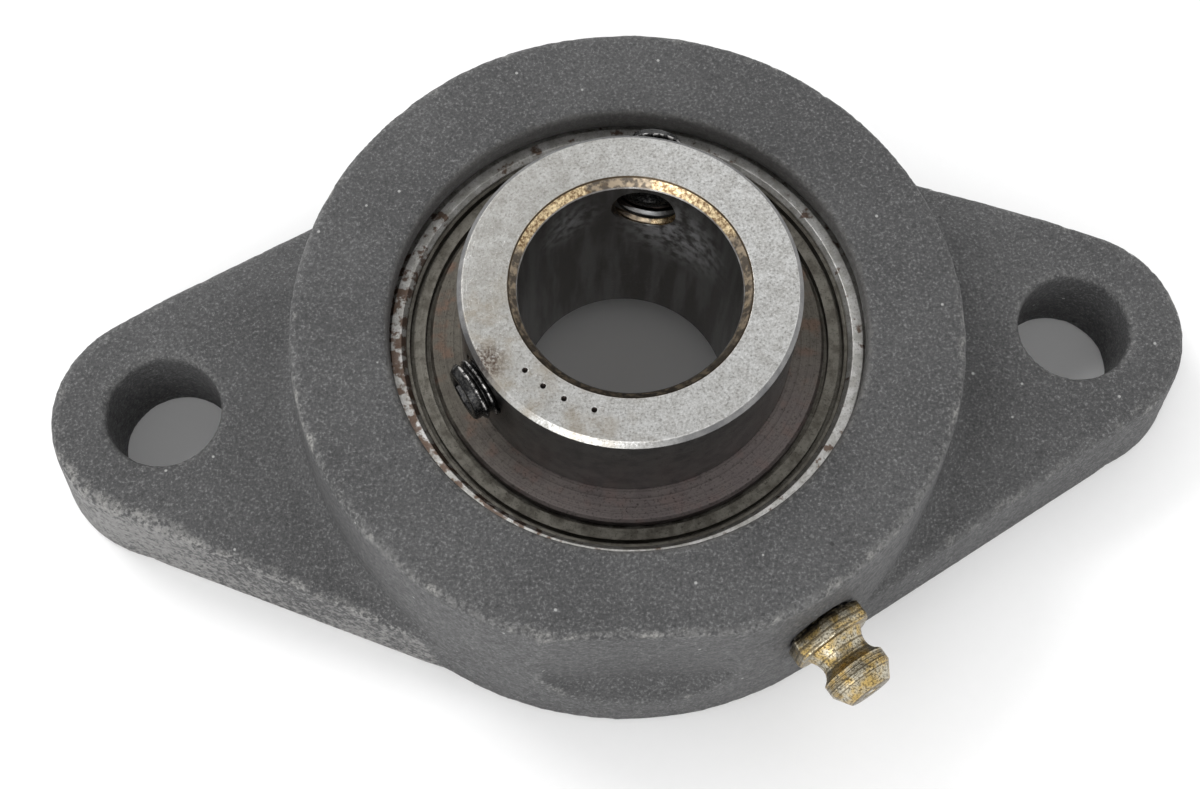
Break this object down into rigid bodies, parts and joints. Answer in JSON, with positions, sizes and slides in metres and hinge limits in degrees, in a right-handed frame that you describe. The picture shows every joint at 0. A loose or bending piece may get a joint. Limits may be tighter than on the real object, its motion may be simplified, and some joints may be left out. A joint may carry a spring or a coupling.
{
  "type": "two-bolt flange bearing unit",
  "caption": "Oval two-bolt flange housing in painted cast iron with a swivelling ball bearing insert, set screws in its extended inner ring and a grease fitting in the boss.",
  "frame": {"origin": "on the mounting face, midway between the two bolt holes and on the shaft axis", "axes": "+Z along the shaft axis, from the mounting face towards the collar with the set screws; +X along the line of the two bolt holes"},
  "size_m": [0.1252, 0.0752, 0.0319],
  "materials": {
    "housing_casting": "sand-cast iron under satin dark grey paint, chipped along the edges",
    "ring_steel": "ground bearing steel",
    "shroud_steel": "dull pressed steel",
    "flinger_steel": "pressed steel with an olive brown finish",
    "seal_rubber": "black seal rubber",
    "ball_steel": "polished bearing steel",
    "cage_steel": "pressed steel strip",
    "screw_steel": "black oxide alloy steel",
    "fitting_zinc": "yellow zinc plate",
    "spring_steel": "drawn spring wire"
  },
  "bodies": {
    "housing": {"housing": "housing_casting", "grease_fitting_body": "fitting_zinc", "grease_spring": "spring_steel"},
    "insert": {"outer_ring": "ring_steel", "shroud_front": "shroud_steel", "shroud_rear": "shroud_steel", "seal_front": "seal_rubber", "seal_rear": "seal_rubber"},
    "inner": {"inner_ring": "ring_steel", "flinger_front": "flinger_steel", "flinger_rear": "flinger_steel"},
    "cage": {"cage_front": "cage_steel", "cage_rear": "cage_steel", "cage_rivets": "cage_steel"},
    "set_screw_1": {"set_screw_1": "screw_steel"},
    "set_screw_2": {"set_screw_2": "screw_steel"},
    "grease_ball": {"grease_ball": "ball_steel"},
    "ball_1": {"ball_1": "ball_steel"},
    "ball_2": {"ball_2": "ball_steel"},
    "ball_3": {"ball_3": "ball_steel"},
    "ball_4": {"ball_4": "ball_steel"},
    "ball_5": {"ball_5": "ball_steel"},
    "ball_6": {"ball_6": "ball_steel"},
    "ball_7": {"ball_7": "ball_steel"},
    "ball_8": {"ball_8": "ball_steel"},
    "ball_9": {"ball_9": "ball_steel"}
  },
  "joints": [
    {"name": "insert_swivel", "type": "hinge", "parent": "housing", "child": "insert", "pos_m": [0, 0, 0.0127], "axis": [1, 0, 0], "range_deg": [-2.5, 2.5]},
    {"name": "inner_spin", "type": "hinge", "parent": "insert", "child": "inner", "pos_m": [0, 0, 0.0127], "axis": [0, 0, 1], "continuous": true},
    {"name": "cage_spin", "type": "hinge", "parent": "insert", "child": "cage", "pos_m": [0, 0, 0.0127], "axis": [0, 0, 1], "continuous": true},
    {"name": "ball_1_spin", "type": "hinge", "parent": "cage", "child": "ball_1", "pos_m": [0.0195, 0, 0.0127], "axis": [0, 0, 1], "continuous": true},
    {"name": "ball_2_spin", "type": "hinge", "parent": "cage", "child": "ball_2", "pos_m": [0.01494, 0.01254, 0.0127], "axis": [0, 0, 1], "continuous": true},
    {"name": "ball_3_spin", "type": "hinge", "parent": "cage", "child": "ball_3", "pos_m": [0.00339, 0.01921, 0.0127], "axis": [0, 0, 1], "continuous": true},
    {"name": "ball_4_spin", "type": "hinge", "parent": "cage", "child": "ball_4", "pos_m": [-0.00975, 0.01689, 0.0127], "axis": [0, 0, 1], "continuous": true},
    {"name": "ball_5_spin", "type": "hinge", "parent": "cage", "child": "ball_5", "pos_m": [-0.01833, 0.00667, 0.0127], "axis": [0, 0, 1], "continuous": true},
    {"name": "ball_6_spin", "type": "hinge", "parent": "cage", "child": "ball_6", "pos_m": [-0.01833, -0.00667, 0.0127], "axis": [0, 0, 1], "continuous": true},
    {"name": "ball_7_spin", "type": "hinge", "parent": "cage", "child": "ball_7", "pos_m": [-0.00975, -0.01689, 0.0127], "axis": [0, 0, 1], "continuous": true},
    {"name": "ball_8_spin", "type": "hinge", "parent": "cage", "child": "ball_8", "pos_m": [0.00339, -0.01921, 0.0127], "axis": [0, 0, 1], "continuous": true},
    {"name": "ball_9_spin", "type": "hinge", "parent": "cage", "child": "ball_9", "pos_m": [0.01494, -0.01254, 0.0127], "axis": [0, 0, 1], "continuous": true},
    {"name": "set_screw_1_drive", "type": "slide", "parent": "inner", "child": "set_screw_1", "axis": [-0.9063, -0.4226, 0], "range_m": [-0.0016, 0.003]},
    {"name": "set_screw_2_drive", "type": "slide", "parent": "inner", "child": "set_screw_2", "axis": [0.2588, 0.9659, 0], "range_m": [-0.0016, 0.003]},
    {"name": "grease_ball_lift", "type": "slide", "parent": "housing", "child": "grease_ball", "axis": [-0.4695, 0.8829, 0], "range_m": [0, 0.0008], "stiffness_N_per_m": 200, "springref_m": -0.0005, "deforming": ["grease_spring"]}
  ],
  "couplings": [
    {"joint": "cage_spin", "follows": "inner_spin", "ratio": 0.39824},
    {"joint": "ball_1_spin", "follows": "inner_spin", "ratio": -2.355},
    {"joint": "ball_2_spin", "follows": "inner_spin", "ratio": -2.355},
    {"joint": "ball_3_spin", "follows": "inner_spin", "ratio": -2.355},
    {"joint": "ball_4_spin", "follows": "inner_spin", "ratio": -2.355},
    {"joint": "ball_5_spin", "follows": "inner_spin", "ratio": -2.355},
    {"joint": "ball_6_spin", "follows": "inner_spin", "ratio": -2.355},
    {"joint": "ball_7_spin", "follows": "inner_spin", "ratio": -2.355},
    {"joint": "ball_8_spin", "follows": "inner_spin", "ratio": -2.355},
    {"joint": "ball_9_spin", "follows": "inner_spin", "ratio": -2.355}
  ]
}
